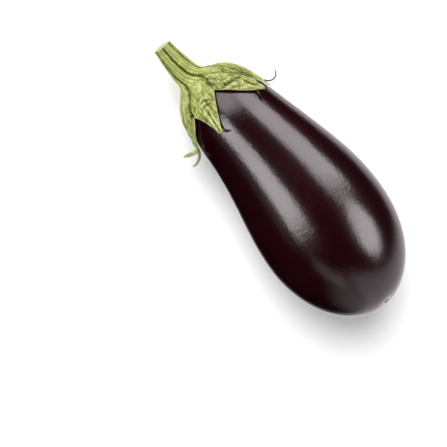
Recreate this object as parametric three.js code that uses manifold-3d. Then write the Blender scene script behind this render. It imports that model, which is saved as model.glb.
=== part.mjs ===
// A globe eggplant as picked, lying on its side: the fruit, the calyx that hugs its shoulder, and the cut stem.
// Millimetres, +Z up. The origin is the centre of the flat spot that the fruit rests on, and +X points to the stem.
//
// Each piece is first built upright and straight, with +Y from the blossom end (y = 0) to the stem. layDown() then
// bends all of them along the one curved centre line and lays them on the table together.
import * as THREE from "three";
import { mergeVertices } from "three/addons/utils/BufferGeometryUtils.js";
import Module from "manifold-3d";

// The fruit's outline. Distances are measured from the blossom end, along the centre line.
const FRUIT_LENGTH = 184;
const BELLY_RADIUS = 44;
const BELLY_AT = 62.5;
const NECK_RADIUS = 29.7;
const NECK_AT = 149.5;
const NECK_TAPER = 0.155; // radius lost for each millimetre towards the stem, at the neck
const BELLY_PULL = 29; // how far the belly's full width carries on towards the neck
const NECK_PULL = 41; // how far the neck's taper carries back towards the belly
const SHOULDER_PULL = 24; // how far the neck's taper carries on into the shoulder
const CROWN_PULL = 17; // how flat the top of the shoulder is

// How the fruit lies.
const BEND_RADIUS = 480; // of the fruit's centre line, which curves sideways
const STEM_BEND_RADIUS = -180; // of the stem's, which curves back the other way
const REST_OFFSET = 8; // the flat spot's centre, from the balance point towards the belly
const REST_DEPTH = 1.1; // how much the skin is pressed flat at the spot

// The calyx: one fused cup with pointed lobes. A reach runs over the skin, from the crown to a tip or a notch.
const GAP = 0.3; // between pieces that touch
const CALYX_THICKNESS = 1.7;
const CALYX_EDGE = 0.7; // thickness at the tips and margins
const EDGE_FALL = 4; // the higher, the closer to the edge the thickness falls away
const CUP_HEIGHT = 5; // of the cup's middle, where the stem joins it
const CUP_RADIUS = 27; // over which the cup thins to the lobes' thickness
const CUP_FALL = 4; // the higher, the flatter the cup's middle and the steeper its side
const LOBE_POINT = 1.3; // 1 gives straight-sided lobes, more gives drawn-out tips
const CALYX_OUTLINE = [
  { angle: -152, reach: 44 },
  { angle: -116, reach: 25 },
  { angle: -84, reach: 46 },
  { angle: -52, reach: 25 },
  { angle: -24, reach: 40 },
  { angle: 8, reach: 19 },
  { angle: 68, reach: 46 },
  { angle: 76, reach: 39 },
  { angle: 88, reach: 47 },
  { angle: 116, reach: 24 },
  { angle: 148, reach: 45 },
  { angle: 180, reach: 24 },
]; // tip, notch, tip and so on; angles in degrees around the stem, from straight up towards -Y

// The stem, whose foot stands on the cup.
const STEM_LENGTH = 33; // from the crown to the cut
const STEM_FOOT_RADIUS = 10.5;
const STEM_WAIST_RADIUS = 7.8;
const WAIST_FROM = 0.2; // the waist's two ends, as shares of the stem's height
const WAIST_TO = 0.5;
const STEM_CUT_RADIUS = 5.4;
const STEM_RIBS = 6;
const RIB_HEIGHT = 0.5;

// Facets.
const FRUIT_SIDES = 44;
const BLOSSOM_RINGS = 14;
const FLANK_RINGS = 10;
const SHOULDER_RINGS = 10;
const CALYX_SIDES = 90;
const CALYX_RINGS = 11;
const STEM_SIDES = 36;
const STEM_RINGS = 9;
const SKIN_STEPS = 60; // along each of the outline's three curves, for measuring over the skin

const wasm = await Module();
wasm.setup();

// The skin's outline, from the blossom end to the crown: x is the radius and y the distance along the fruit.
function fruitOutline() {
  const outline = new THREE.CurvePath();
  const belly = new THREE.Vector2(BELLY_RADIUS, BELLY_AT);
  const neck = new THREE.Vector2(NECK_RADIUS, NECK_AT);
  outline.add(new THREE.EllipseCurve(0, BELLY_AT, BELLY_RADIUS, BELLY_AT, -Math.PI / 2, 0));
  outline.add(
    new THREE.CubicBezierCurve(
      belly,
      new THREE.Vector2(BELLY_RADIUS, BELLY_AT + BELLY_PULL),
      new THREE.Vector2(NECK_RADIUS + NECK_TAPER * NECK_PULL, NECK_AT - NECK_PULL),
      neck,
    ),
  );
  outline.add(
    new THREE.CubicBezierCurve(
      neck,
      new THREE.Vector2(NECK_RADIUS - NECK_TAPER * SHOULDER_PULL, NECK_AT + SHOULDER_PULL),
      new THREE.Vector2(CROWN_PULL, FRUIT_LENGTH),
      new THREE.Vector2(0, FRUIT_LENGTH),
    ),
  );
  return outline;
}

// The outline as closely spaced points, each with its distance over the skin from the crown.
function skinPoints() {
  const points = fruitOutline().getPoints(SKIN_STEPS).reverse();
  let reach = 0;
  return points.map((point, i) => {
    reach += i > 0 ? point.distanceTo(points[i - 1]) : 0;
    return { point, reach };
  });
}

const SKIN = skinPoints();

// The point of the skin at a reach from the crown, moved outwards by a height.
function overSkin(reach, height) {
  const found = SKIN.findIndex((p) => p.reach >= reach);
  const i = Math.min(Math.max(found, 1), SKIN.length - 1);
  const [from, to] = [SKIN[i - 1], SKIN[i]];
  const along = new THREE.Vector2().subVectors(to.point, from.point);
  const outwards = new THREE.Vector2(-along.y, along.x).normalize();
  return from.point
    .clone()
    .addScaledVector(along, (reach - from.reach) / (to.reach - from.reach))
    .addScaledVector(outwards, height);
}

// Distance from the blossom end at which the fruit balances.
function balancePoint() {
  let volume = 0;
  let moment = 0;
  for (let i = 1; i < SKIN.length; i++) {
    const [a, b] = [SKIN[i - 1].point, SKIN[i].point];
    const slice = ((a.x + b.x) / 2) ** 2 * (a.y - b.y);
    volume += slice;
    moment += (slice * (a.y + b.y)) / 2;
  }
  return moment / volume;
}

// Where the flat spot is, and how far the fruit tips to lie on it.
function restingPose() {
  const at = balancePoint() - REST_OFFSET;
  const i = SKIN.findIndex((p) => p.point.y <= at);
  const [above, below] = [SKIN[i - 1].point, SKIN[i].point];
  const radius = THREE.MathUtils.mapLinear(at, below.y, above.y, below.x, above.x);
  return { at, radius, tip: Math.atan2(below.x - above.x, above.y - below.y) };
}

const REST = restingPose();

// Where an arc of the centre line ends and which way it then heads, seen from above.
function alongArc(start, length, radius) {
  const heading = start.heading + length / radius;
  return {
    heading,
    forward: start.forward + radius * (Math.sin(heading) - Math.sin(start.heading)),
    sideways: start.sideways + radius * (Math.cos(start.heading) - Math.cos(heading)),
  };
}

const SPOT = { heading: 0, forward: 0, sideways: 0 };
const CROWN = alongArc(SPOT, FRUIT_LENGTH - REST.at, BEND_RADIUS);

// Moves a point of the upright model to its place on the table.
function layPointDown(point) {
  const centre =
    point.y < FRUIT_LENGTH
      ? alongArc(SPOT, point.y - REST.at, BEND_RADIUS)
      : alongArc(CROWN, point.y - FRUIT_LENGTH, STEM_BEND_RADIUS);
  const forward = centre.forward + point.x * Math.sin(centre.heading);
  const sideways = centre.sideways - point.x * Math.cos(centre.heading);
  const [cos, sin] = [Math.cos(REST.tip), Math.sin(REST.tip)];
  point.set(
    forward * cos + (point.z + REST.radius) * sin,
    sideways,
    (point.z + REST.radius) * cos - forward * sin - REST_DEPTH,
  );
}

function layDown(geometry) {
  const place = geometry.getAttribute("position");
  const point = new THREE.Vector3();
  for (let i = 0; i < place.count; i++) {
    point.fromBufferAttribute(place, i);
    layPointDown(point);
    place.setXYZ(i, point.x, point.y, point.z);
  }
  geometry.computeVertexNormals();
  return geometry;
}

function solidOf(geometry) {
  const bare = geometry.clone();
  bare.deleteAttribute("normal");
  bare.deleteAttribute("uv");
  const merged = mergeVertices(bare, 1e-3);
  return new wasm.Manifold(
    new wasm.Mesh({
      numProp: 3,
      vertProperties: merged.getAttribute("position").array,
      triVerts: new Uint32Array(merged.index.array),
    }),
  );
}

function geometryOf(solid) {
  const mesh = solid.getMesh();
  const geometry = new THREE.BufferGeometry();
  geometry.setAttribute("position", new THREE.BufferAttribute(mesh.vertProperties, mesh.numProp));
  geometry.setIndex(new THREE.BufferAttribute(mesh.triVerts, 1));
  geometry.computeVertexNormals();
  return geometry;
}

// Cuts off what lies below the table.
function pressFlat(geometry) {
  const table = new THREE.BoxGeometry(2 * FRUIT_LENGTH, 4 * BELLY_RADIUS, BELLY_RADIUS);
  table.translate(0, 0, -BELLY_RADIUS / 2);
  return geometryOf(solidOf(geometry).subtract(solidOf(table)));
}

// The skin's points thinned to where the outline needs them: close at the two rounded ends, sparse on the flanks.
function fruitProfile() {
  const rings = [
    ...fruitOutline().curves[0].getPoints(BLOSSOM_RINGS),
    ...fruitOutline().curves[1].getPoints(FLANK_RINGS).slice(1),
    ...fruitOutline().curves[2].getPoints(SHOULDER_RINGS).slice(1),
  ];
  rings[0].x = 0;
  rings[rings.length - 1].x = 0;
  return rings;
}

function fruit() {
  return pressFlat(layDown(new THREE.LatheGeometry(fruitProfile(), FRUIT_SIDES)));
}

// How far the calyx reaches over the skin in a direction around the stem, in degrees.
function calyxReach(direction) {
  const [first] = CALYX_OUTLINE;
  const round = [...CALYX_OUTLINE, { ...first, angle: first.angle + 360 }];
  const turned = first.angle + THREE.MathUtils.euclideanModulo(direction - first.angle, 360);
  const i = Math.max(1, round.findIndex((mark) => mark.angle >= turned));
  const [from, to] = [round[i - 1], round[i]];
  const passed = (turned - from.angle) / (to.angle - from.angle);
  const [tip, notch, share] = from.reach > to.reach ? [from, to, 1 - passed] : [to, from, passed];
  return notch.reach + (tip.reach - notch.reach) * share ** LOBE_POINT;
}

// Height of the calyx's outer face above the skin: the cup in the middle, and the lobes around it.
function calyxHeight(reach) {
  const cup = (CUP_HEIGHT - CALYX_THICKNESS) * Math.exp(-((reach / CUP_RADIUS) ** CUP_FALL));
  return GAP + CALYX_THICKNESS + cup;
}

// A flat two-layered disc whose vertices are laid over the skin, out to the calyx's own reach in each direction.
function calyx() {
  const steps = [...Array(CALYX_RINGS + 1).keys()].map((i) => i / CALYX_RINGS);
  const under = steps.map((share) => new THREE.Vector2(share, 0));
  const over = steps.map((share) => new THREE.Vector2(share, 1)).reverse();
  const disc = new THREE.LatheGeometry([...under, ...over], CALYX_SIDES);
  const place = disc.getAttribute("position");
  for (let i = 0; i < place.count; i++) {
    const direction = Math.atan2(place.getX(i), place.getZ(i));
    const share = Math.hypot(place.getX(i), place.getZ(i));
    const reach = share * calyxReach(THREE.MathUtils.radToDeg(direction));
    const outer = THREE.MathUtils.lerp(calyxHeight(reach), GAP + CALYX_EDGE, share ** EDGE_FALL);
    const skin = overSkin(reach, place.getY(i) > 0.5 ? outer : GAP);
    place.setXYZ(i, skin.x * Math.sin(direction), skin.y, skin.x * Math.cos(direction));
  }
  return layDown(disc);
}

// The stem's foot follows the top of the cup, a gap above it. Its side flares from the cut down to the foot.
function stemProfile() {
  const foot = [0, 0.25, 0.5, 0.75, 1].map((share) => {
    const reach = share * STEM_FOOT_RADIUS;
    return overSkin(reach, calyxHeight(reach) + GAP);
  });
  foot[0].x = 0;
  const rim = foot[foot.length - 1];
  const cut = FRUIT_LENGTH + STEM_LENGTH;
  const side = new THREE.CubicBezierCurve(
    rim,
    new THREE.Vector2(STEM_WAIST_RADIUS, THREE.MathUtils.lerp(rim.y, cut, WAIST_FROM)),
    new THREE.Vector2(STEM_WAIST_RADIUS, THREE.MathUtils.lerp(rim.y, cut, WAIST_TO)),
    new THREE.Vector2(STEM_CUT_RADIUS, cut),
  );
  return [...foot, ...side.getPoints(STEM_RINGS).slice(1), new THREE.Vector2(0, cut)];
}

// The stem with its ribs raised. They run out to nothing over the foot, which stays round on the cup.
function stem() {
  const turned = new THREE.LatheGeometry(stemProfile(), STEM_SIDES);
  const place = turned.getAttribute("position");
  const footTop = FRUIT_LENGTH + CUP_HEIGHT + 2 * GAP;
  for (let i = 0; i < place.count; i++) {
    const [x, y, z] = [place.getX(i), place.getY(i), place.getZ(i)];
    const rise = THREE.MathUtils.smoothstep(y, footTop, footTop + STEM_FOOT_RADIUS / 2);
    const radius = Math.hypot(x, z);
    if (radius < 1e-6) continue;
    const grown = 1 + (rise * RIB_HEIGHT * Math.cos(STEM_RIBS * Math.atan2(x, z))) / STEM_CUT_RADIUS;
    place.setXYZ(i, x * grown, y, z * grown);
  }
  return layDown(turned);
}

const skinFinish = new THREE.MeshStandardMaterial({ color: 0x1c0a16, roughness: 0.2, metalness: 0 });
const calyxFinish = new THREE.MeshStandardMaterial({ color: 0x9cb556, roughness: 0.6, metalness: 0 });
const stemFinish = new THREE.MeshStandardMaterial({ color: 0x8dab45, roughness: 0.55, metalness: 0 });

function piece(name, geometry, finish) {
  const mesh = new THREE.Mesh(geometry, finish);
  mesh.name = name;
  return mesh;
}

const eggplant = new THREE.Group();
eggplant.add(piece("fruit", fruit(), skinFinish));
eggplant.add(piece("calyx", calyx(), calyxFinish));
eggplant.add(piece("stem", stem(), stemFinish));

export default eggplant;
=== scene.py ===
# A globe eggplant as picked, lying on its side: glossy fruit, green calyx and cut stem.
#
# Each piece is first shaped upright and straight, with +Y from the blossom end (y = 0) to the stem. It is
# then laid down along the fruit's curved centre line. Lengths are in metres.
import math
from bisect import bisect_left

import bmesh
import bpy
from mathutils import Matrix, Vector, noise
from mathutils.geometry import interpolate_bezier


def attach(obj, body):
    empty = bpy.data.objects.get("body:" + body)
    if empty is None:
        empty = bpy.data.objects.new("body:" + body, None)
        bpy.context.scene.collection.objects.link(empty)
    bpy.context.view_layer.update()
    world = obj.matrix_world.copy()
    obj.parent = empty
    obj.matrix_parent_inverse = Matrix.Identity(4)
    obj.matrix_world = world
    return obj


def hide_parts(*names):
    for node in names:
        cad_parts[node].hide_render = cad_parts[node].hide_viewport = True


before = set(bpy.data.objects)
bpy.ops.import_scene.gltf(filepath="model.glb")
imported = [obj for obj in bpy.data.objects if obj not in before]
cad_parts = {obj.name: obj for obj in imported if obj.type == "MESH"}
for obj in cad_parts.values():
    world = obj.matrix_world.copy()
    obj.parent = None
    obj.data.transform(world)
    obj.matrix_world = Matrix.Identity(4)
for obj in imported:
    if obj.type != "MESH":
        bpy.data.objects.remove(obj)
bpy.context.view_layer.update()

MM = 0.001

# The fruit's outline, and how it lies.
FRUIT_LENGTH = 184 * MM
BELLY_RADIUS = 44 * MM
BELLY_AT = 62.5 * MM
NECK_RADIUS = 29.7 * MM
NECK_AT = 149.5 * MM
NECK_TAPER = 0.155
BELLY_PULL = 29 * MM
NECK_PULL = 41 * MM
SHOULDER_PULL = 24 * MM
CROWN_PULL = 17 * MM
BEND_RADIUS = 480 * MM
STEM_BEND_RADIUS = -180 * MM
REST_OFFSET = 8 * MM
REST_DEPTH = 1.1 * MM
CURVE_STEPS = 60

# The calyx: tips and the notches between them, as angles around the stem and reaches over the skin.
GAP = 0.3 * MM
EDGE_THICKNESS = 0.8 * MM
LOBES = [
    {"angle": -152, "reach": 44, "tip": 1.6, "pinch": (1.8, 1.6), "lift": 0.5},
    {"angle": -86, "reach": 44, "tip": 1.2, "pinch": (1.5, 0.8), "lift": 1.0},
    {"angle": -25, "reach": 43, "tip": 1.7, "pinch": (2.6, 1.5), "lift": 0.5},
    {"angle": 56, "reach": 45, "tip": 1.1, "pinch": (0.85, 2.2), "lift": 0.6},
    {"angle": 73, "reach": 47, "tip": 0.8, "pinch": (2.0, 1.6), "lift": 0.8},
    {"angle": 148, "reach": 45, "tip": 1.5, "pinch": (1.8, 1.6), "lift": 0.5},
]
NOTCHES = [
    {"angle": -116, "reach": 25},
    {"angle": -48, "reach": 25},
    {"angle": 9, "reach": 21.5},
    {"angle": 64, "reach": 35.5},
    {"angle": 116, "reach": 24},
    {"angle": 180, "reach": 24},
]  # NOTCHES[k] lies after LOBES[k]
# Folds pressed into the calyx: depth, which is below zero for a raised line, and width, in mm, and the
# (angle, reach) points they run through, in degrees and mm.
FOLDS = [
    # the wide lobe: a fold along its upper edge, one that crosses it, its midrib, and fine rays from its root
    (0.9, 0.56, [(30, 12), (46, 20), (54, 27), (60, 31)]),
    (-0.7, 0.8, [(24, 13), (38, 20), (48, 26)]),
    (1.3, 0.56, [(10, 24), (27, 26), (44, 28), (52, 30)]),
    (-0.9, 0.72, [(14, 27), (30, 29), (43, 31)]),
    (0.6, 0.4, [(17, 28), (30, 31), (38, 33)]),
    (-1.0, 0.56, [(42, 29), (43, 33), (46, 38), (54, 44)]),
    (1.2, 0.64, [(47, 31), (50, 36), (54, 42)]),
    (-0.7, 0.48, [(54, 30), (57, 36), (57, 42)]),
    (0.9, 0.4, [(60, 30), (62, 35), (61, 41)]),
    (0.7, 0.48, [(64, 24), (68, 31), (65, 37)]),
    (0.6, 0.4, [(20, 15), (32, 24)]),
    (0.5, 0.4, [(12, 17), (22, 23.5)]),
    (0.5, 0.4, [(28, 14), (40, 22), (46, 27)]),
    (-0.5, 0.48, [(16, 15), (27, 24)]),
    (0.5, 0.32, [(62, 18), (70, 26), (74, 34)]),
    # the front lobe: wrinkles across its root, a double midrib, and a fold down its side
    (1.0, 0.44, [(-22, 22.5), (-15, 22.3), (-6, 24.5)]),
    (-0.8, 0.48, [(-21, 21.5), (-13, 21), (-5, 22.8)]),
    (0.85, 0.4, [(-25, 25.5), (-16, 25), (-9, 26.5)]),
    (-0.9, 0.48, [(-24, 24), (-15, 23.7), (-7, 25.6)]),
    (0.7, 0.36, [(-27, 20), (-18, 19.3), (-8, 20.6)]),
    (0.7, 0.4, [(-12, 27), (-6, 25.5), (-1, 26)]),
    (0.8, 0.4, [(-20, 17), (-12, 17.6), (-7, 19)]),
    (-1.1, 0.56, [(-16, 25), (-18, 30), (-21, 36), (-23, 42)]),
    (0.8, 0.32, [(-20.5, 27), (-22.5, 33), (-24, 41)]),
    (-0.8, 0.48, [(-25, 27), (-26, 33), (-26.5, 42)]),
    (0.7, 0.56, [(-31, 26), (-30, 33), (-28, 39)]),
    (-0.8, 1.2, [(4, 13), (-6, 16), (-12, 18)]),
    # the lobe on the left: a midrib and folds beside it
    (-0.9, 0.72, [(-58, 12), (-66, 24), (-78, 38), (-84, 43)]),
    (0.8, 0.48, [(-64, 15), (-72, 24), (-81, 36)]),
    (0.6, 0.4, [(-47, 18), (-55, 25), (-66, 33)]),
    # the far lobes: midribs and folds beside them
    (-0.9, 0.8, [(100, 14), (92, 26), (80, 38), (74, 45)]),
    (0.9, 0.56, [(108, 15), (102, 26), (88, 36)]),
    (0.7, 0.48, [(98, 26), (90, 29), (82, 28)]),
    (-0.9, 0.8, [(146, 12), (148, 26), (148, 43)]),
    (1.0, 0.56, [(138, 16), (140, 26), (145, 38)]),
    (1.1, 0.56, [(156, 20), (149, 23), (142, 21)]),
    (0.8, 0.48, [(153, 25), (147, 27), (140, 25)]),
    (-0.9, 0.8, [(-150, 12), (-151, 26), (-152, 42)]),
    (1.0, 0.56, [(-142, 15), (-144, 26), (-149, 37)]),
    (1.1, 0.56, [(-160, 22), (-152, 24), (-144, 22)]),
    (0.7, 0.48, [(-104, 14), (-98, 24), (-90, 34)]),
]
# Dry curled ends and dark strips: how dark they are, and the (angle, reach, height over the skin, half width)
# points they run through, in degrees and mm. They are, in order, a dark dry thread, two pale prongs, a hair
# painted dark as a shadow, two strips of painted shade in a gap between lobes, and a spike of painted shadow
# under a tip.
CURLS = [
    (1.0, [(73, 39, 1.6, 1.2), (80, 40.3, 1.5, 1.0), (84, 42.8, 1.4, 0.85), (86, 45.6, 2.4, 0.75),
            (87, 47.2, 4.7, 0.7), (87, 47.4, 7.7, 0.62), (87, 46.1, 9.5, 0.5), (87, 44.8, 10.4, 0.3)]),
    (0.0, [(-86, 42.2, 1.2, 1.6), (-88, 43.6, 1.9, 1.7), (-90, 43.7, 4.2, 2.1), (-91, 43.3, 7.3, 2.2),
           (-91, 42.8, 9.6, 1.7), (-91, 42.4, 11.3, 0.8)]),
    (0.1, [(-86, 42.6, 1.4, 1.4), (-88, 44.8, 1.8, 1.5), (-90, 47.4, 2.8, 1.45), (-91, 49.2, 4.4, 1.35),
           (-91, 50.4, 6.4, 1.2), (-91, 50.8, 8.4, 1.05), (-91, 50.4, 9.8, 0.6)]),
    (1.0, [(-23, 41.5, 1.0, 1.2), (-21, 43.6, 0.9, 1.15), (-18.5, 45, 0.7, 0.95), (-15.5, 45.6, 0.6, 0.5)]),
    (1.0, [(63, 36.5, 1.0, 0.5), (65, 39.5, 1.1, 0.8), (66, 42.3, 1.0, 0.8), (66.5, 45, 0.8, 0.4)]),
    (1.0, [(62.5, 39.5, 0.9, 0.4), (60, 42.5, 1.2, 0.7), (59, 45.8, 1.2, 0.4)]),
    (1.0, [(47, 41.8, 0.7, 0.6), (43, 44.3, 0.6, 0.9), (39, 47.3, 0.4, 0.35)]),
]
CURL_SIDES = 8
CURL_FLATNESS = 0.7

# How finely the calyx is divided: columns across each lobe, and rows from the stem to the tips.
LOBE_COLUMNS = 35
FOOT_ROWS = 3
CUP_ROWS = 22
LOBE_ROWS = 24

# The calyx's body: a low dome that flares up around the stem's foot.
FOOT_REACH = 10 * MM
FOOT_SINK = 1.5 * MM
DOME_HEIGHT = 3.3 * MM
DOME_REACH = 31 * MM
CROWN_SWELL = 0.7 * MM
SWELL_REACH = 60 * MM
FLARE_HEIGHT = 1.6 * MM
FLARE_REACH = 2.4 * MM
FOOT_BLEND = 14 * MM
EDGE_ROUNDING = 2.2 * MM
LEAST_THICKNESS = 0.6 * MM
MARGIN_START = 14 * MM
MARGIN_FADE = 6 * MM
MARGIN_LIFT = 1.1 * MM
MARGIN_WAVE = 0.4 * MM
RIM_WIDTH = 0.6 * MM
NOTCH_SLACK = 0.6
LOBE_BULGE = 0.12
CALYX_GIRTH = 27 * MM
TWIST = 14
TWIST_REACH = 13 * MM

# Ribs, grooves and wrinkles of the calyx. The first of a pair holds near the stem, the second further out.
# A width without a unit is a share of a lobe's half width.
RIB_HEIGHT = 0.55 * MM
RIB_WIDTHS = (2.4 * MM, 1.3 * MM)
SIDE_RIB_HEIGHT = 0.35 * MM
SIDE_RIB_WIDTH = 0.14
SIDE_RIB_END = 16 * MM
SIDE_RIB_FADE = 12 * MM
GROOVE_DEPTHS = (0.55 * MM, 1.2 * MM)
GROOVE_WIDTHS = (0.12, 0.09)
WRINKLE_DEPTH = 1.05 * MM
# The fold depth that gets full painted shade, and the raised fold height that gets full painted highlight.
SHADE_FULL_FOLD_DEPTH = 1.15 * MM
HIGHLIGHT_FULL_FOLD_HEIGHT = 1.1 * MM

# The stem: its side, its dished cut face, and its ribs. Its columns become evenly spaced from STEM_START, an
# angle in degrees.
STEM_LENGTH = 33 * MM
STEM_WAIST_RADIUS = 7.9 * MM
STEM_WAIST_AT = 11 * MM
STEM_CUT_RADIUS = 5.4 * MM
CUT_SLANT = 0.17
CUT_BULGE = 0.25 * MM
CUT_DISH = 0.5 * MM
PITH_HEIGHT = 0.35 * MM
STEM_FOOT_DROP = 0.6 * MM
STEM_RIB_HEIGHT = 0.62 * MM
STEM_SIDE_RIB_HEIGHT = 0.3 * MM
STEM_GROOVE_DEPTH = 0.75 * MM
STEM_UNEVENNESS = 0.16 * MM
STEM_START = -186
STEM_GIRTH = 9 * MM
SLOPE_STEP = 0.3 * MM
STEM_ROWS = 34
CUT_ROWS = 6
CAP_ROWS = 2

ROUNDING_LEVELS = 1


# ---------------------------------------------------------------- the shared shape

def skin_outline(steps=CURVE_STEPS):
    """The skin's outline as (radius, distance) points, from the blossom end to the crown."""
    quarter = [0.5 * math.pi * i / steps for i in range(steps + 1)]
    blossom = [Vector((BELLY_RADIUS * math.sin(a), BELLY_AT * (1 - math.cos(a)))) for a in quarter]
    neck = Vector((NECK_RADIUS, NECK_AT))
    flank = interpolate_bezier(
        blossom[-1],
        Vector((BELLY_RADIUS, BELLY_AT + BELLY_PULL)),
        Vector((NECK_RADIUS + NECK_TAPER * NECK_PULL, NECK_AT - NECK_PULL)),
        neck,
        steps + 1,
    )
    shoulder = interpolate_bezier(
        neck,
        Vector((NECK_RADIUS - NECK_TAPER * SHOULDER_PULL, NECK_AT + SHOULDER_PULL)),
        Vector((CROWN_PULL, FRUIT_LENGTH)),
        Vector((0, FRUIT_LENGTH)),
        steps + 1,
    )
    return blossom + flank[1:] + shoulder[1:]


SKIN = skin_outline()[::-1]
REACHES = [0.0]
for near, far in zip(SKIN, SKIN[1:]):
    REACHES.append(REACHES[-1] + (far - near).length)


def over_skin(reach, height):
    """The (radius, distance) point at a reach over the skin from the crown, moved outwards by a height."""
    i = min(max(bisect_left(REACHES, reach), 1), len(SKIN) - 1)
    along = SKIN[i] - SKIN[i - 1]
    share = (reach - REACHES[i - 1]) / (REACHES[i] - REACHES[i - 1])
    outwards = Vector((-along.y, along.x)).normalized()
    return SKIN[i - 1] + along * share + outwards * height


def resting_pose():
    """Where the flat spot is along the fruit, the radius there, and how far the fruit tips to lie on it."""
    slices = [(((a.x + b.x) / 2) ** 2 * (a.y - b.y), (a.y + b.y) / 2) for a, b in zip(SKIN, SKIN[1:])]
    balance = sum(size * at for size, at in slices) / sum(size for size, at in slices)
    at = balance - REST_OFFSET
    below = next(i for i, point in enumerate(SKIN) if point.y <= at)
    top, low = SKIN[below - 1], SKIN[below]
    radius = low.x + (top.x - low.x) * (at - low.y) / (top.y - low.y)
    return at, radius, math.atan2(low.x - top.x, top.y - low.y)


REST_AT, REST_RADIUS, REST_TIP = resting_pose()


def along_arc(start, length, radius):
    """Where an arc of the centre line ends: (forward, sideways, heading)."""
    forward, sideways, heading = start
    ahead = heading + length / radius
    return (
        forward + radius * (math.sin(ahead) - math.sin(heading)),
        sideways + radius * (math.cos(heading) - math.cos(ahead)),
        ahead,
    )


CROWN = along_arc((0, 0, 0), FRUIT_LENGTH - REST_AT, BEND_RADIUS)


def laid(point):
    """The place on the table of a point of the upright model."""
    if point.y < FRUIT_LENGTH:
        forward, sideways, heading = along_arc((0, 0, 0), point.y - REST_AT, BEND_RADIUS)
    else:
        forward, sideways, heading = along_arc(CROWN, point.y - FRUIT_LENGTH, STEM_BEND_RADIUS)
    forward += point.x * math.sin(heading)
    sideways -= point.x * math.cos(heading)
    cos, sin = math.cos(REST_TIP), math.sin(REST_TIP)
    above = point.z + REST_RADIUS
    return Vector((forward * cos + above * sin, sideways, above * cos - forward * sin - REST_DEPTH))


def around(profile, angle):
    """A (radius, distance) point turned to an angle in degrees from straight up towards -Y."""
    turn = math.radians(angle)
    return Vector((profile.x * math.sin(turn), profile.y, profile.x * math.cos(turn)))


def mix(a, b, share):
    return a + (b - a) * share


def smooth(share):
    share = min(max(share, 0), 1)
    return share * share * (3 - 2 * share)


def bump(x, width):
    """A smooth hill of height 1 around x = 0."""
    return math.exp(-((x / width) ** 2))


def near_line(x, y, line):
    """Distance from a point to a line through points, and how far along it that is, from 0 to 1."""
    best = (1e9, 0)
    for i, (a, b) in enumerate(zip(line, line[1:])):
        step = (b[0] - a[0], b[1] - a[1])
        share = ((x - a[0]) * step[0] + (y - a[1]) * step[1]) / (step[0] ** 2 + step[1] ** 2)
        share = min(max(share, 0), 1)
        off = math.hypot(x - a[0] - step[0] * share, y - a[1] - step[1] * share)
        best = min(best, (off, (i + share) / (len(line) - 1)))
    return best


def finished(name, mesh, node, material):
    """Puts a finished mesh in the scene as the piece that stands for a node."""
    data = bpy.data.meshes.new(name)
    mesh.to_mesh(data)
    mesh.free()
    data.shade_smooth()
    data.materials.append(material)
    piece = bpy.data.objects.new(name, data)
    bpy.context.scene.collection.objects.link(piece)
    rounding = piece.modifiers.new("rounding", "SUBSURF")
    rounding.levels = rounding.render_levels = ROUNDING_LEVELS
    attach(piece, "root")
    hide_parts(node)


# ---------------------------------------------------------------- materials

class Nodes:
    """Short ways to add nodes to a node tree."""

    def __init__(self, tree):
        self.tree = tree

    def node(self, kind, settings=None, **inputs):
        made = self.tree.nodes.new(kind)
        for key, value in (settings or {}).items():
            setattr(made, key, value)
        for socket, value in inputs.items():
            self.feed(made.inputs[socket.replace("_", " ")], value)
        return made

    def feed(self, socket, value):
        if isinstance(value, bpy.types.NodeSocket):
            self.tree.links.new(value, socket)
        else:
            socket.default_value = value

    def maths(self, operation, a, b=0.0, c=0.0):
        made = self.node("ShaderNodeMath", {"operation": operation})
        for socket, value in zip(made.inputs, (a, b, c)):
            self.feed(socket, value)
        return made.outputs["Value"]

    def blend(self, share, a, b):
        made = self.node("ShaderNodeMix", {"data_type": "RGBA"})
        self.feed(made.inputs[0], share)
        self.feed(made.inputs[6], a)
        self.feed(made.inputs[7], b)
        return made.outputs[2]


class Finish(Nodes):
    """A Principled material and short ways to build it up."""

    def __init__(self, name, **inputs):
        self.material = bpy.data.materials.new(name)
        self.material.use_nodes = True
        super().__init__(self.material.node_tree)
        self.shader = self.tree.nodes["Principled BSDF"]
        self.set(**inputs)
        self.place = self.node("ShaderNodeTexCoord").outputs["Object"]

    def noise(self, scale, detail=3.0, roughness=0.5, where=None):
        made = self.node(
            "ShaderNodeTexNoise", None, Vector=where or self.place,
            Scale=scale, Detail=detail, Roughness=roughness,
        )
        return made.outputs["Fac"]

    def mapped(self, where, scale):
        """Coordinates stretched by a scale."""
        return self.node("ShaderNodeMapping", None, Vector=where, Scale=scale).outputs["Vector"]

    def spread(self, value, low, high):
        """A value from 0 to 1 spread between two others."""
        return self.node("ShaderNodeMapRange", None, Value=value, To_Min=low, To_Max=high).outputs["Result"]

    def attribute(self, name):
        return self.node("ShaderNodeAttribute", {"attribute_name": name}).outputs["Fac"]

    def ramp(self, value, *stops):
        made = self.node("ShaderNodeValToRGB", None, Fac=value)
        stop = made.color_ramp.elements
        while len(stop) < len(stops):
            stop.new(0.5)
        for element, (at, tone) in zip(stop, stops):
            element.position = at
            element.color = (*tone, 1)
        return made.outputs["Color"]

    def relief(self, height, distance, strength=1.0, under=None):
        made = self.node("ShaderNodeBump", None, Height=height, Distance=distance, Strength=strength)
        if under is not None:
            self.feed(made.inputs["Normal"], under)
        return made.outputs["Normal"]

    def set(self, **inputs):
        for socket, value in inputs.items():
            self.feed(self.shader.inputs[socket.replace("_", " ")], value)
        return self.material


def linear(level):
    """A screen level, from 0 to 255, as an amount of light."""
    share = level / 255
    return share / 12.92 if share < 0.0404 else ((share + 0.055) / 1.055) ** 2.4


def colour(red, green, blue, *alpha):
    """A screen colour, from 0 to 255, as a shader takes it."""
    return (linear(red), linear(green), linear(blue), *alpha)


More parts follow.
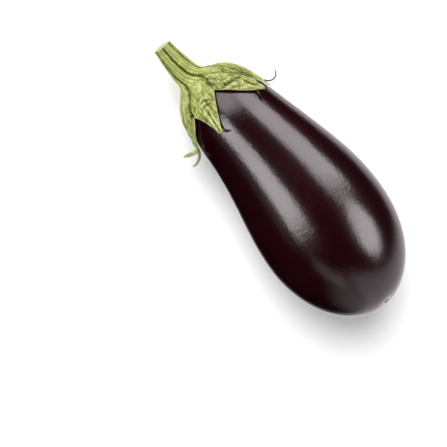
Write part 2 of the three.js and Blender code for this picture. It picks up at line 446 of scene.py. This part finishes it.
BLACK = (0, 0, 0)
WHITE = (1, 1, 1)
SKIN_WAVE_RELIEF = 0.1 * MM
RIPPLE_RELIEF = 0.11 * MM
PORE_RELIEF = 0.012 * MM


def skin_material():
    """A very dark, waxy skin with fine ripples and pores, and a pale corky scar with a dark middle."""
    finish = Finish("glossy_skin", Roughness=0.2, IOR=1.5)
    patches = finish.noise(28, detail=4, roughness=0.6)
    base = finish.blend(patches, colour(20, 0, 4, 1), colour(32, 0, 9, 1))
    middle = finish.attribute("scar")
    ragged = finish.maths("MULTIPLY_ADD", finish.noise(700, detail=3), 0.8, middle)
    scar = finish.ramp(ragged, (0.7, BLACK), (0.8, WHITE))
    cork = finish.ramp(
        finish.maths("MULTIPLY_ADD", finish.noise(900, detail=2), 0.5, middle),
        (0.7, colour(252, 248, 222)), (1.0, colour(226, 212, 170)), (1.0, colour(60, 36, 24)),
    )
    base = finish.blend(scar, base, cork)
    waves = finish.relief(finish.noise(120, detail=2), SKIN_WAVE_RELIEF)
    across = finish.mapped(finish.place, (1.5, 0.85, 0.85))
    ripple = finish.noise(720, detail=2, roughness=0.45, where=across)
    rippled = finish.relief(ripple, RIPPLE_RELIEF, under=waves)
    grain = finish.relief(finish.noise(1500, detail=2), PORE_RELIEF, under=rippled)
    rough = finish.blend(scar, finish.spread(patches, 0.17, 0.22), (0.75, 0.75, 0.75, 1))
    return finish.set(Base_Color=base, Roughness=rough, Normal=grain)


def green_material(name, pale, deep, dark, light):
    """A leathery green with fibres and veins: painted highlight on raised ribs and folds, painted shade in
    creases and grooves, pale and woody where cut.
    """
    finish = Finish(name, Roughness=0.55, IOR=1.4, Specular_IOR_Level=0.12)
    grain_at = finish.node("ShaderNodeUVMap", {"uv_map": "grain"}).outputs["UV"]
    cells = finish.node(
        "ShaderNodeTexVoronoi", {"feature": "DISTANCE_TO_EDGE"},
        Vector=finish.mapped(grain_at, (1, 0.4, 1)), Scale=700.0, Randomness=1.0,
    ).outputs["Distance"]
    veins = finish.ramp(cells, (0.0, WHITE), (0.14, BLACK))
    streaks = finish.noise(1300, detail=4, roughness=0.65, where=finish.mapped(grain_at, (1, 0.14, 1)))
    fibres = finish.ramp(streaks, (0.42, BLACK), (0.6, WHITE))
    mottle = finish.ramp(finish.noise(210, detail=5, roughness=0.7), (0.36, BLACK), (0.64, WHITE))
    specks = finish.ramp(finish.noise(1100, detail=2, roughness=0.5), (0.56, BLACK), (0.68, WHITE))

    shade = finish.blend(mottle, colour(*deep, 1), colour(*pale, 1))
    for mask, strength, tone in (
        (fibres, 0.8, deep),
        (veins, 0.6, light),
        (specks, 0.6, dark),
        # Painted highlight: the light colour laid on the raised ribs and folds, and along the calyx margins.
        (finish.attribute("ridge_highlight"), 0.85, light),
    ):
        shade = finish.blend(finish.maths("MULTIPLY", mask, strength), shade, colour(*tone, 1))
    dried = finish.blend(fibres, colour(140, 132, 76, 1), colour(236, 232, 182, 1))
    shade = finish.blend(finish.attribute("dry"), shade, dried)
    # Painted shade: the dark colour laid in the calyx's creases and folds, in the stem's grooves and on the
    # dark curls. On the thread it is the thread's own dark colour.
    shade = finish.blend(finish.attribute("shade_and_dark_tint"), shade, colour(*dark, 1))
    face = finish.ramp(
        finish.attribute("ring"),
        (0.0, colour(250, 248, 214)),
        (0.34, colour(240, 240, 190)),
        (0.44, colour(186, 196, 116)),
        (0.56, colour(252, 250, 216)),
        (0.84, colour(246, 246, 204)),
        (0.95, colour(104, 124, 44)),
    )
    shade = finish.blend(finish.attribute("cut"), shade, face)

    normal = None
    for height, distance, strength in (
        (mottle, 0.8, 1.0),
        (fibres, 0.6, 1.0),
        (veins, 0.3, 0.8),
        (specks, 0.2, 0.6),
    ):
        normal = finish.relief(height, distance * MM, strength, normal)
    return finish.set(Base_Color=shade, Roughness=finish.spread(mottle, 0.45, 0.65), Normal=normal)


# ---------------------------------------------------------------- the fruit

FRUIT_SIDES = 120
FRUIT_STEPS = 34
SCAR_ANGLE = 27
SCAR_REACH = 17.5 * MM
SCAR_RADIUS = 5.4 * MM
SCAR_HEIGHT = 0.9 * MM
SCAR_DIMPLE = 0.35 * MM
SKIN_SWELLS = 0.7 * MM
SKIN_UNEVENNESS = 0.12 * MM
ON_AXIS = 0.001 * MM


def make_fruit():
    """The outline spun round, made a little uneven, with the blossom scar raised near its lower end."""
    mesh = bmesh.new()
    outline = [mesh.verts.new((point.x, point.y, 0)) for point in skin_outline(FRUIT_STEPS)]
    edges = [mesh.edges.new(pair) for pair in zip(outline, outline[1:])]
    bmesh.ops.spin(
        mesh, geom=outline + edges, cent=(0, 0, 0), axis=(0, 1, 0), dvec=(0, 0, 0),
        angle=2 * math.pi, steps=FRUIT_SIDES, use_merge=True,
    )
    bmesh.ops.remove_doubles(mesh, verts=mesh.verts, dist=0.02 * MM)
    bmesh.ops.recalc_face_normals(mesh, faces=mesh.faces)
    scar_layer = mesh.verts.layers.float.new("scar")
    scar_at = around(Vector((SCAR_REACH, 0)), SCAR_ANGLE)
    for vert in mesh.verts:
        place = vert.co.copy()
        out = Vector((place.x, 0, place.z))
        if out.length > ON_AXIS:
            slow = noise.noise(Vector((place.x * 14, place.y * 9, place.z * 14)) + Vector((3, 7, 1)))
            quick = noise.noise(Vector((place.x * 45, place.y * 25, place.z * 45)))
            place += out.normalized() * (SKIN_SWELLS * slow + SKIN_UNEVENNESS * quick)
        if place.y < BELLY_AT / 2:
            off = (Vector((place.x, 0, place.z)) - scar_at).length
            place.y += SCAR_HEIGHT * bump(off, SCAR_RADIUS) - SCAR_DIMPLE * bump(off, SCAR_RADIUS / 3)
            vert[scar_layer] = bump(off, SCAR_RADIUS * 0.7)
        vert.co = laid(place)
        vert.co.z = max(vert.co.z, 0)
    finished("eggplant_fruit", mesh, "fruit", skin_material())


# ---------------------------------------------------------------- the calyx and the stem

COLUMNS = len(LOBES) * LOBE_COLUMNS
CUP_TOP = FOOT_ROWS + CUP_ROWS
TOP_ROW = CUP_TOP + LOBE_ROWS


def notch_after(k):
    """Angle and reach of the notch after lobe k, its angle made the next one past the lobe's."""
    notch = NOTCHES[k % len(NOTCHES)]
    return notch["angle"] + 360 * (k // len(NOTCHES)), notch["reach"] * MM


def base_of(column):
    """Lobe, place across it from -1 to 1, and the angle and reach where the lobe's base is crossed."""
    k, step = divmod(column, LOBE_COLUMNS)
    across = 2 * step / (LOBE_COLUMNS - 1) - 1
    left, right = notch_after(k - 1), notch_after(k)
    share = (across + 1) / 2
    angle = mix(left[0] + NOTCH_SLACK, right[0] - NOTCH_SLACK, share)
    bulge = LOBE_BULGE * (1 - across * across)
    reach = mix(left[1], right[1], smooth(share)) * (1 + bulge)
    return k, across, angle, reach


def lobe_point(k, across, base_reach, step):
    """Angle and reach at a share of a lobe's length, and the lobe's half width there."""
    lobe = LOBES[k]
    left, right = notch_after(k - 1)[0] + NOTCH_SLACK, notch_after(k)[0] - NOTCH_SLACK
    reach_tip = lobe["reach"] * MM
    half = math.degrees(lobe["tip"] * MM / over_skin(reach_tip, 0).x)
    pinch_left, pinch_right = lobe["pinch"]
    from_left = mix(lobe["angle"] - half, left, (1 - step) ** pinch_left)
    from_right = mix(lobe["angle"] + half, right, (1 - step) ** pinch_right)
    rounding = 0.5 * lobe["tip"] * MM * across * across * smooth((step - 0.7) / 0.3)
    reach = mix(base_reach, reach_tip, step) - rounding
    angle = mix(from_left, from_right, (across + 1) / 2)
    width = math.radians(from_right - from_left) / 2 * over_skin(reach, 0).x
    return angle, reach, width


def wrinkle(x, y, seed):
    """Uneven folds of the calyx: x across and y along, in metres. From -1 to 1."""
    folds = noise.noise(Vector((x * 230, y * 330, seed)))
    rays = noise.noise(Vector((x * 700, y * 150, seed + 5)))
    fine = noise.noise(Vector((x * 900, y * 950, seed + 9)))
    return 0.5 * folds + 0.7 * rays + 0.5 * fine


def unrolled(angle, reach):
    """A spot of the calyx on the unrolled skin, in metres."""
    return math.radians(angle) * CALYX_GIRTH * min(1, 0.35 + reach / (36 * MM)), reach


FOLD_LINES = [
    (depth * MM, width * MM, [unrolled(angle, reach * MM) for angle, reach in points])
    for depth, width, points in FOLDS
]


def folded(angle, reach):
    """How deep the listed folds press in at a spot, and how far the raised ones stand up."""
    x, y = unrolled(angle, reach)
    depth = rise = 0
    for deep, width, line in FOLD_LINES:
        off, along = near_line(x, y, line)
        if off < 3 * width:
            share = bump(off, width) * smooth(min(along, 1 - along) * 4 + 0.25)
            depth = max(depth, deep * share)
            rise = max(rise, -deep * share)
    return depth, rise


def twisted(angle, reach):
    """The grooves lean over as they come down from the stem."""
    return angle + TWIST * (1 - smooth((reach - FOOT_REACH) / TWIST_REACH))


def swell(reach):
    """How far the calyx's body stands over its edge's thickness, without ribs and folds."""
    dome = DOME_HEIGHT * math.exp(-((reach / DOME_REACH) ** 4)) + CROWN_SWELL * (1 - reach / SWELL_REACH)
    return dome + FLARE_HEIGHT * math.exp(-max(0, reach - FOOT_REACH) / FLARE_REACH)


def calyx_place(column, row):
    """Everything about one spot of the calyx's outer face: angle, reach, height, and what colours it."""
    k, across, angle, base_reach = base_of(column)
    lobe = LOBES[k]
    span = math.radians(notch_after(k)[0] - notch_after(k - 1)[0]) / 2
    if row <= FOOT_ROWS:
        reach, step = FOOT_REACH * row / FOOT_ROWS, 0
        width = span * max(reach, 1 * MM)
    elif row <= CUP_TOP:
        reach, step = mix(FOOT_REACH, base_reach, (row - FOOT_ROWS) / CUP_ROWS), 0
        width = span * over_skin(reach, 0).x
    else:
        step = (row - CUP_TOP) / LOBE_ROWS
        angle, reach, width = lobe_point(k, across, base_reach, step)
    angle = twisted(angle, reach)
    inside = (1 - abs(across)) * width
    to_notch = max(0, base_reach - reach) if step == 0 else 0
    from_edge = math.hypot(inside, to_notch)
    if step > 0:
        from_edge = min(from_edge, (1 - step) * (lobe["reach"] * MM - base_reach) + 0.3 * MM)
    body = 1 - math.exp(-from_edge / EDGE_ROUNDING)
    off_foot = smooth((reach - FOOT_REACH) / FOOT_BLEND)
    rib = bump(across * width, mix(*RIB_WIDTHS, smooth(step * 1.3))) * (1 - off_foot * 0.8)
    groove = bump(1 - abs(across), mix(*GROOVE_WIDTHS, off_foot)) * (1 - smooth(step * 4))
    side_rib = bump(abs(across) - 0.5, SIDE_RIB_WIDTH)
    side_rib *= 1 - smooth((reach - SIDE_RIB_END) / SIDE_RIB_FADE)
    depth, rise = folded(angle, reach)
    flat_x, flat_y = unrolled(angle, reach)
    folds = wrinkle(flat_x, flat_y, 3.1) * off_foot
    height = EDGE_THICKNESS + body * swell(reach)
    height += rib * RIB_HEIGHT * min(1, body * 1.6) + side_rib * SIDE_RIB_HEIGHT
    room = smooth((height - 0.9 * MM) / (2 * MM))
    height -= groove * mix(*GROOVE_DEPTHS, off_foot) * room
    height += folds * WRINKLE_DEPTH * body
    height += min(1, body * 1.8) * rise - depth * max(room, 0.35 * body)
    # Painted shade: crease darkens the grooves, the wrinkle valleys and the pressed folds.
    crease = max(0, -folds) * 0.95 + groove * 0.65 * (1 - 0.3 * step) + depth / SHADE_FULL_FOLD_DEPTH
    # Painted highlight: crown lightens the ribs, the wrinkle tops and the raised folds. Rim makes the margins
    # lighter and takes the painted shade off them.
    crown = rib * 0.35 + max(0, folds) * 0.8 + rise / HIGHLIGHT_FULL_FOLD_HEIGHT
    rim = math.exp(-from_edge / RIM_WIDTH) * smooth((reach - FOOT_REACH) / MARGIN_FADE)
    return {
        "angle": angle, "reach": reach, "height": max(height, LEAST_THICKNESS),
        "step": step, "across": across, "lobe": k,
        "shade_and_dark_tint": min(1, crease * (1 - rim)), "ridge_highlight": min(1, crown + 0.7 * rim), "x": flat_x,
        "dry": smooth((step - 0.88) / 0.12) * 0.6, "edge": math.exp(-from_edge / (3 * MM)),
    }


def lift_of(spot):
    """How far the sheet stands off the skin: its margin lifts, the tips curl up and the margins wave."""
    step, across, k = spot["step"], spot["across"], spot["lobe"]
    tip = LOBES[k]["lift"] * MM * step ** 3
    swing = 1 + math.sin(9 * step + 2.1 * k + across)
    wave = MARGIN_WAVE * abs(across) ** 3 * smooth(step * 3) * swing
    started = smooth((spot["reach"] - MARGIN_START) / MARGIN_FADE)
    margin = MARGIN_LIFT * spot["edge"] * started * (1 - 0.7 * step)
    return tip + wave + margin


def grid(rows):
    """A flat wheel of faces: row r has radius r, and the columns are the spokes."""
    mesh = bmesh.new()
    spoke = [mesh.verts.new((row, 0, 0)) for row in range(rows + 1)]
    edges = [mesh.edges.new(pair) for pair in zip(spoke, spoke[1:])]
    bmesh.ops.spin(
        mesh, geom=spoke + edges, cent=(0, 0, 0), axis=(0, 1, 0), dvec=(0, 0, 0),
        angle=2 * math.pi, steps=COLUMNS, use_merge=True,
    )
    bmesh.ops.remove_doubles(mesh, verts=mesh.verts, dist=0.01)
    mesh.edges.layers.float.new("crease_edge")
    row_of = mesh.verts.layers.int.new("row")
    column_of = mesh.verts.layers.int.new("column")
    for vert in mesh.verts:
        vert[row_of] = round(math.hypot(vert.co.x, vert.co.z))
        turn = math.atan2(vert.co.z, vert.co.x) / (2 * math.pi)
        vert[column_of] = round(turn * COLUMNS) % COLUMNS
    return mesh, row_of, column_of


PAINTS = ("shade_and_dark_tint", "ridge_highlight", "dry", "cut", "ring")
SEAM_STEP = 20 * MM


def paint(mesh, spots):
    """Writes what colours each vertex and its place on the unrolled surface. Spots are in vertex order."""
    layers = {name: mesh.verts.layers.float.new(name) for name in PAINTS}
    grain = mesh.loops.layers.uv.new("grain")
    mesh.verts.index_update()
    for vert, spot in zip(mesh.verts, spots):
        for name, layer in layers.items():
            vert[layer] = spot.get(name, 0)
    for face in mesh.faces:
        middle = sum(spots[vert.index]["x"] for vert in face.verts) / len(face.verts)
        for loop in face.loops:
            spot = spots[loop.vert.index]
            across_seam = abs(spot["x"] - middle) >= SEAM_STEP
            loop[grain].uv = (middle if across_seam else spot["x"], spot["reach"])


def make_calyx(material):
    """A sheet notched between its lobes, with an underside a gap over the skin, and its curled ends."""
    mesh, row_of, column_of = grid(TOP_ROW)

    def is_notch(face):
        columns = {vert[column_of] % LOBE_COLUMNS for vert in face.verts}
        return columns == {0, LOBE_COLUMNS - 1} and max(vert[row_of] for vert in face.verts) > CUP_TOP

    bmesh.ops.delete(mesh, geom=[face for face in mesh.faces if is_notch(face)], context="FACES")
    under = mesh.verts.layers.int.new("under")
    made = bmesh.ops.extrude_face_region(mesh, geom=mesh.faces[:], use_keep_orig=True)
    for item in made["geom"]:
        if isinstance(item, bmesh.types.BMVert):
            item[under] = 1
    spots = []
    for vert in mesh.verts:
        spot = calyx_place(vert[column_of], vert[row_of])
        spots.append(spot)
        height = spot["height"]
        if vert[row_of] < FOOT_ROWS:
            height -= FOOT_SINK
        if vert[under]:
            height = GAP
        vert.co = laid(around(over_skin(spot["reach"], height + lift_of(spot)), spot["angle"]))
    paint(mesh, spots)
    for darkness, stations in CURLS:
        add_curl(mesh, darkness, stations)
    bmesh.ops.recalc_face_normals(mesh, faces=mesh.faces)
    ring = [
        edge for edge in mesh.edges
        if all(vert[row_of] == FOOT_ROWS and not vert[under] for vert in edge.verts)
    ]
    hold(mesh, ring)
    finished("eggplant_calyx", mesh, "calyx", material)


def add_curl(mesh, darkness, stations):
    """A curl: a small sheet rolled into a flattened tube along its stations, with closed ends. Most are dry
    curled ends; the dark hair, strips and spike carry painted shade.
    """
    places = [
        laid(around(over_skin(reach * MM, height * MM), angle))
        for angle, reach, height, _ in stations
    ]
    widths = [width * MM for *_, width in stations]
    places = [places[0]] + places + [places[-1] + (places[-1] - places[-2]).normalized() * widths[-1]]
    widths = [0] + widths + [0]
    last = len(places) - 1
    made = bmesh.ops.create_grid(mesh, x_segments=CURL_SIDES, y_segments=last, size=1)
    dry = mesh.verts.layers.float["dry"]
    shade_and_dark_tint = mesh.verts.layers.float["shade_and_dark_tint"]
    row_of = mesh.verts.layers.int["row"]
    grain = mesh.loops.layers.uv["grain"]
    frames = []
    aside = (places[2] - places[1]).orthogonal().normalized()
    for i in range(last + 1):
        forward = (places[min(i + 1, last)] - places[max(i - 1, 0)]).normalized()
        aside = (aside - forward * aside.dot(forward)).normalized()
        frames.append((aside, forward.cross(aside)))
    faces = {face for vert in made["verts"] for face in vert.link_faces}
    for face in faces:
        for loop in face.loops:
            loop[grain].uv = (loop.vert.co.x * 2 * MM, loop.vert.co.y * 6 * MM)
    for vert in made["verts"]:
        turn = math.pi * (vert.co.x + 1)
        i = round((vert.co.y + 1) / 2 * last)
        aside, over = frames[i]
        vert.co = places[i] + (aside * math.cos(turn) + over * math.sin(turn) * CURL_FLATNESS) * widths[i]
        vert[dry] = 0.5 + 0.5 * i / last
        # How dark the curl gets towards its end: painted shade on the hair, the strips and the spike, and the
        # thread's own dark colour on the thread.
        vert[shade_and_dark_tint] = darkness * smooth(2 * i / last)
        vert[row_of] = -1
    bmesh.ops.remove_doubles(mesh, verts=made["verts"], dist=0.01 * MM)


def hold(mesh, edges):
    """Keeps edges crisp and in place when the mesh is rounded."""
    crease = mesh.edges.layers.float["crease_edge"]
    for edge in edges:
        edge.smooth = False
        edge[crease] = 1.0


def stem_profile():
    """The stem's side as (radius, distance) points, from the foot to the cut."""
    inner, foot = (
        over_skin(reach, EDGE_THICKNESS + swell(reach)) for reach in (FOOT_REACH + SLOPE_STEP, FOOT_REACH)
    )
    slope = (foot - inner).normalized()
    waist = Vector((STEM_WAIST_RADIUS, FRUIT_LENGTH + STEM_WAIST_AT))
    cut = Vector((STEM_CUT_RADIUS, FRUIT_LENGTH + STEM_LENGTH))
    taper = (cut - waist).normalized()
    points = STEM_ROWS // 2 + 1
    low = interpolate_bezier(foot, foot + slope * 3 * MM, waist - taper * 4 * MM, waist, points)
    high = interpolate_bezier(waist, waist + taper * 6 * MM, cut - taper * 4 * MM, cut, points)
    return low + high[1:]


def stem_place(row, column, foot, side):
    """Everything about one spot of the stem: its angle, its (radius, distance) point, and what colours it."""
    ring_point = over_skin(foot["reach"], foot["height"])
    if row < CAP_ROWS:
        sunk = Vector((ring_point.x * row / CAP_ROWS, ring_point.y - STEM_FOOT_DROP))
        return {"angle": foot["angle"], "profile": sunk}
    across = base_of(column)[1]
    last_side = CAP_ROWS + len(side) - 1
    up = min(row, last_side) - CAP_ROWS
    share = up / (len(side) - 1)
    even = STEM_START + 360 * (column + 0.5) / COLUMNS
    angle = mix(foot["angle"], even, smooth(share * 1.2))
    rib = bump(across, 0.3) - 0.25 * bump(across, 0.09)
    side_rib = bump(abs(across) - 0.52, 0.17)
    groove = bump(1 - abs(across), 0.13)
    ribs = STEM_RIB_HEIGHT * rib + STEM_SIDE_RIB_HEIGHT * side_rib - STEM_GROOVE_DEPTH * groove
    uneven = STEM_UNEVENNESS * noise.noise(Vector((angle * 0.09, up * 0.35, 4)))
    profile = side[up] + Vector((ribs * mix(1, 0.8, share) + uneven, 0))
    profile = ring_point.lerp(profile, smooth(share * 5))
    if row > last_side:
        inwards = (row - last_side) / CUT_ROWS
        dish = CUT_DISH * smooth(inwards * 2) - PITH_HEIGHT * bump(1 - inwards, 0.3)
        profile = Vector((profile.x * (1 - inwards), profile.y + CUT_BULGE - dish))
        spot = {"cut": 1, "ring": 1 - inwards}
    else:
        # Painted shade in the grooves and in the valleys beside the ribs.
        spot = {
            "shade_and_dark_tint": min(1, groove + 0.55 * bump(abs(across) - 0.27, 0.07)),
            # Painted highlight on the ribs.
            "ridge_highlight": min(1, rib * 0.7 + side_rib * 0.45),
            "dry": 0.7 * smooth((share - 0.97) / 0.03),
        }
    profile.y -= CUT_SLANT * smooth((share - 0.8) / 0.2) * profile.x * math.cos(math.radians(angle))
    return {"angle": angle, "profile": profile, **spot}


def make_stem(material):
    """Rows from the middle of the hidden foot, over the side, to the middle of the cut face."""
    side = stem_profile()
    last_side = CAP_ROWS + len(side) - 1
    mesh, row_of, column_of = grid(last_side + CUT_ROWS)
    feet = [calyx_place(column, FOOT_ROWS) for column in range(COLUMNS)]
    spots = []
    for vert in mesh.verts:
        column = vert[column_of]
        spot = stem_place(vert[row_of], column, feet[column], side)
        spot["x"] = math.radians(spot["angle"]) * STEM_GIRTH
        spot["reach"] = -spot["profile"].y
        spots.append(spot)
        vert.co = laid(around(spot["profile"], spot["angle"]))
    paint(mesh, spots)
    bmesh.ops.remove_doubles(mesh, verts=mesh.verts, dist=0.01 * MM)
    bmesh.ops.recalc_face_normals(mesh, faces=mesh.faces)
    rims = [
        edge for edge in mesh.edges
        if {vert[row_of] for vert in edge.verts} in ({CAP_ROWS}, {last_side})
    ]
    hold(mesh, rims)
    finished("eggplant_stem", mesh, "stem", material)


# ---------------------------------------------------------------- the studio

FLOOR_HALF_WIDTH = 6
FLOOR_GLOW = 0.18
AMBIENT = 0.28
CARD_COLOUR = (1.0, 0.965, 0.98)


def make_floor():
    """A pale floor that glows a little and that the skin does not mirror."""
    mesh = bmesh.new()
    bmesh.ops.create_grid(mesh, x_segments=1, y_segments=1, size=FLOOR_HALF_WIDTH)
    data = bpy.data.meshes.new("floor")
    mesh.to_mesh(data)
    mesh.free()
    floor = bpy.data.objects.new("floor", data)
    bpy.context.scene.collection.objects.link(floor)
    finish = Finish(
        "pale_floor", Roughness=0.9, Base_Color=(0.86, 0.86, 0.86, 1), Specular_IOR_Level=0.1,
        Emission_Color=(1, 1, 1, 1), Emission_Strength=FLOOR_GLOW,
    )
    data.materials.append(finish.material)
    floor.visible_glossy = False


CAMERA_TILT = 16
CAMERA_ROLL = 53.4
CAMERA_AIM = Vector((30.6, 50.8, 34.2)) * MM
CAMERA_DISTANCE = 786 * MM
CAMERA_LENS = 100


def looking(back, right):
    """A rotation whose local Z is back and whose local X is right."""
    return Matrix((right, back.cross(right), back)).transposed().to_4x4()


TILT, ROLL = math.radians(CAMERA_TILT), math.radians(CAMERA_ROLL)
BACK = Vector((math.sin(TILT), 0, math.cos(TILT)))
TO_STEM = Vector((math.cos(TILT), 0, -math.sin(TILT)))
TO_SIDE = Vector((0, -1, 0))
RIGHT = TO_SIDE * math.sin(ROLL) - TO_STEM * math.cos(ROLL)


def make_camera():
    data = bpy.data.cameras.new("camera")
    data.lens = CAMERA_LENS
    data.sensor_width = 36
    camera = bpy.data.objects.new("camera", data)
    camera.matrix_world = Matrix.Translation(CAMERA_AIM + BACK * CAMERA_DISTANCE) @ looking(BACK, RIGHT)
    bpy.context.scene.collection.objects.link(camera)
    bpy.context.scene.camera = camera


LIGHT_DISTANCE = 900 * MM
LIGHT_AIM = Vector((20, 0, 60)) * MM


def towards(across, along):
    """The direction at two angles in degrees from the camera's: across towards -Y, and along to the stem."""
    a, b = math.radians(across), math.radians(along)
    return (BACK * math.cos(a) + TO_SIDE * math.sin(a)) * math.cos(b) + TO_STEM * math.sin(b)


def add_light(name, data, direction):
    light = bpy.data.objects.new(name, data)
    side = TO_STEM.cross(direction).normalized()
    light.matrix_world = Matrix.Translation(LIGHT_AIM + direction * LIGHT_DISTANCE) @ looking(direction, side)
    bpy.context.scene.collection.objects.link(light)
    return light


def card(name, across, along, radiance, shape="RECTANGLE"):
    """A bright card that the skin mirrors, and that fills two ranges of angles."""
    half_across = math.radians(across[1] - across[0]) / 2
    half_along = math.radians(along[1] - along[0]) / 2
    middle = sum(along) / 2
    data = bpy.data.lights.new(name, "AREA")
    data.shape = shape
    data.size = 2 * LIGHT_DISTANCE * math.tan(half_across) * math.cos(math.radians(middle))
    data.size_y = 2 * LIGHT_DISTANCE * math.tan(half_along)
    data.color = CARD_COLOUR
    data.energy = radiance * math.pi * data.size * data.size_y
    light = add_light(name, data, towards(sum(across) / 2, middle))
    light.visible_diffuse = False


def soft_sun(name, across, along, strength, softness):
    """Even soft light from one direction, which the skin does not mirror."""
    data = bpy.data.lights.new(name, "SUN")
    data.energy = strength * math.pi
    data.angle = math.radians(softness)
    light = add_light(name, data, towards(across, along))
    light.visible_glossy = False


def make_lights():
    card("window_left", (-56, -22), (-8, 20), 9.0)
    card("window_right", (33, 76), (-2, 34), 6.3)
    card("window_right_low", (38, 74), (-4, 10), 1.8)
    card("window_top_right", (33, 68), (34, 64), 5.4)
    card("window_top_left", (-22, 33), (20, 66), 4.6)
    card("window_end", (35, 74), (-52, -10), 6.4, "ELLIPSE")
    card("wall_left", (-66, -48), (-58, -26), 0.9)
    card("wall_far_left", (-72, -66), (-8, 14), 0.4)
    soft_sun("key", 9, 24, 1.3, 36)
    soft_sun("fill", -50, 5, 0.08, 60)


def make_world():
    """Even pale light. What the skin mirrors is a dark room with a pale sweep under and behind the fruit."""
    world = bpy.data.worlds.new("studio")
    world.use_nodes = True
    nodes = Nodes(world.node_tree)
    heading = nodes.node("ShaderNodeTexCoord").outputs["Generated"]

    def facing(direction, start, end):
        """Rises from 0 to 1 as a ray turns towards a direction."""
        turned = nodes.node("ShaderNodeVectorMath", {"operation": "DOT_PRODUCT"})
        nodes.feed(turned.inputs[0], heading)
        nodes.feed(turned.inputs[1], direction)
        return nodes.node(
            "ShaderNodeMapRange", {"interpolation_type": "SMOOTHSTEP"},
            Value=turned.outputs["Value"], From_Min=start, From_Max=end,
        ).outputs["Result"]

    below = BACK * -0.66 - BACK.cross(RIGHT) * 0.75
    sweep = nodes.maths("MAXIMUM", facing(below, 0.2, 0.32), facing(-BACK, 0.54, 0.66))
    left = facing(-TO_SIDE, 0.1, 0.4)
    blossom = nodes.maths("MULTIPLY", facing(-TO_STEM, 0.6, 0.95), 0.6)
    open_side = nodes.maths("MAXIMUM", nodes.maths("SUBTRACT", 1.0, left), blossom)
    glow = nodes.maths("MULTIPLY_ADD", nodes.maths("MULTIPLY", sweep, open_side), 1.2, 0.006)
    path = nodes.node("ShaderNodeLightPath")
    mirrored = path.outputs["Is Glossy Ray"]
    lit = nodes.maths("MULTIPLY_ADD", path.outputs["Is Camera Ray"], 1 - AMBIENT, AMBIENT)
    strength = nodes.node("ShaderNodeMix")
    nodes.feed(strength.inputs[0], mirrored)
    nodes.feed(strength.inputs[2], lit)
    nodes.feed(strength.inputs[3], glow)
    back = nodes.tree.nodes["Background"]
    nodes.feed(back.inputs["Color"], nodes.blend(mirrored, (1, 1, 1, 1), (1, 0.91, 0.94, 1)))
    nodes.feed(back.inputs["Strength"], strength.outputs[0])
    bpy.context.scene.world = world


make_camera()
make_fruit()
make_calyx(green_material("calyx_skin", (222, 232, 108), (106, 128, 12), (22, 30, 0), (254, 255, 182)))
make_stem(green_material("stem_skin", (210, 222, 88), (106, 130, 12), (32, 42, 0), (252, 255, 170)))
make_floor()
make_lights()
make_world()
bpy.context.scene.view_settings.view_transform = "Standard"
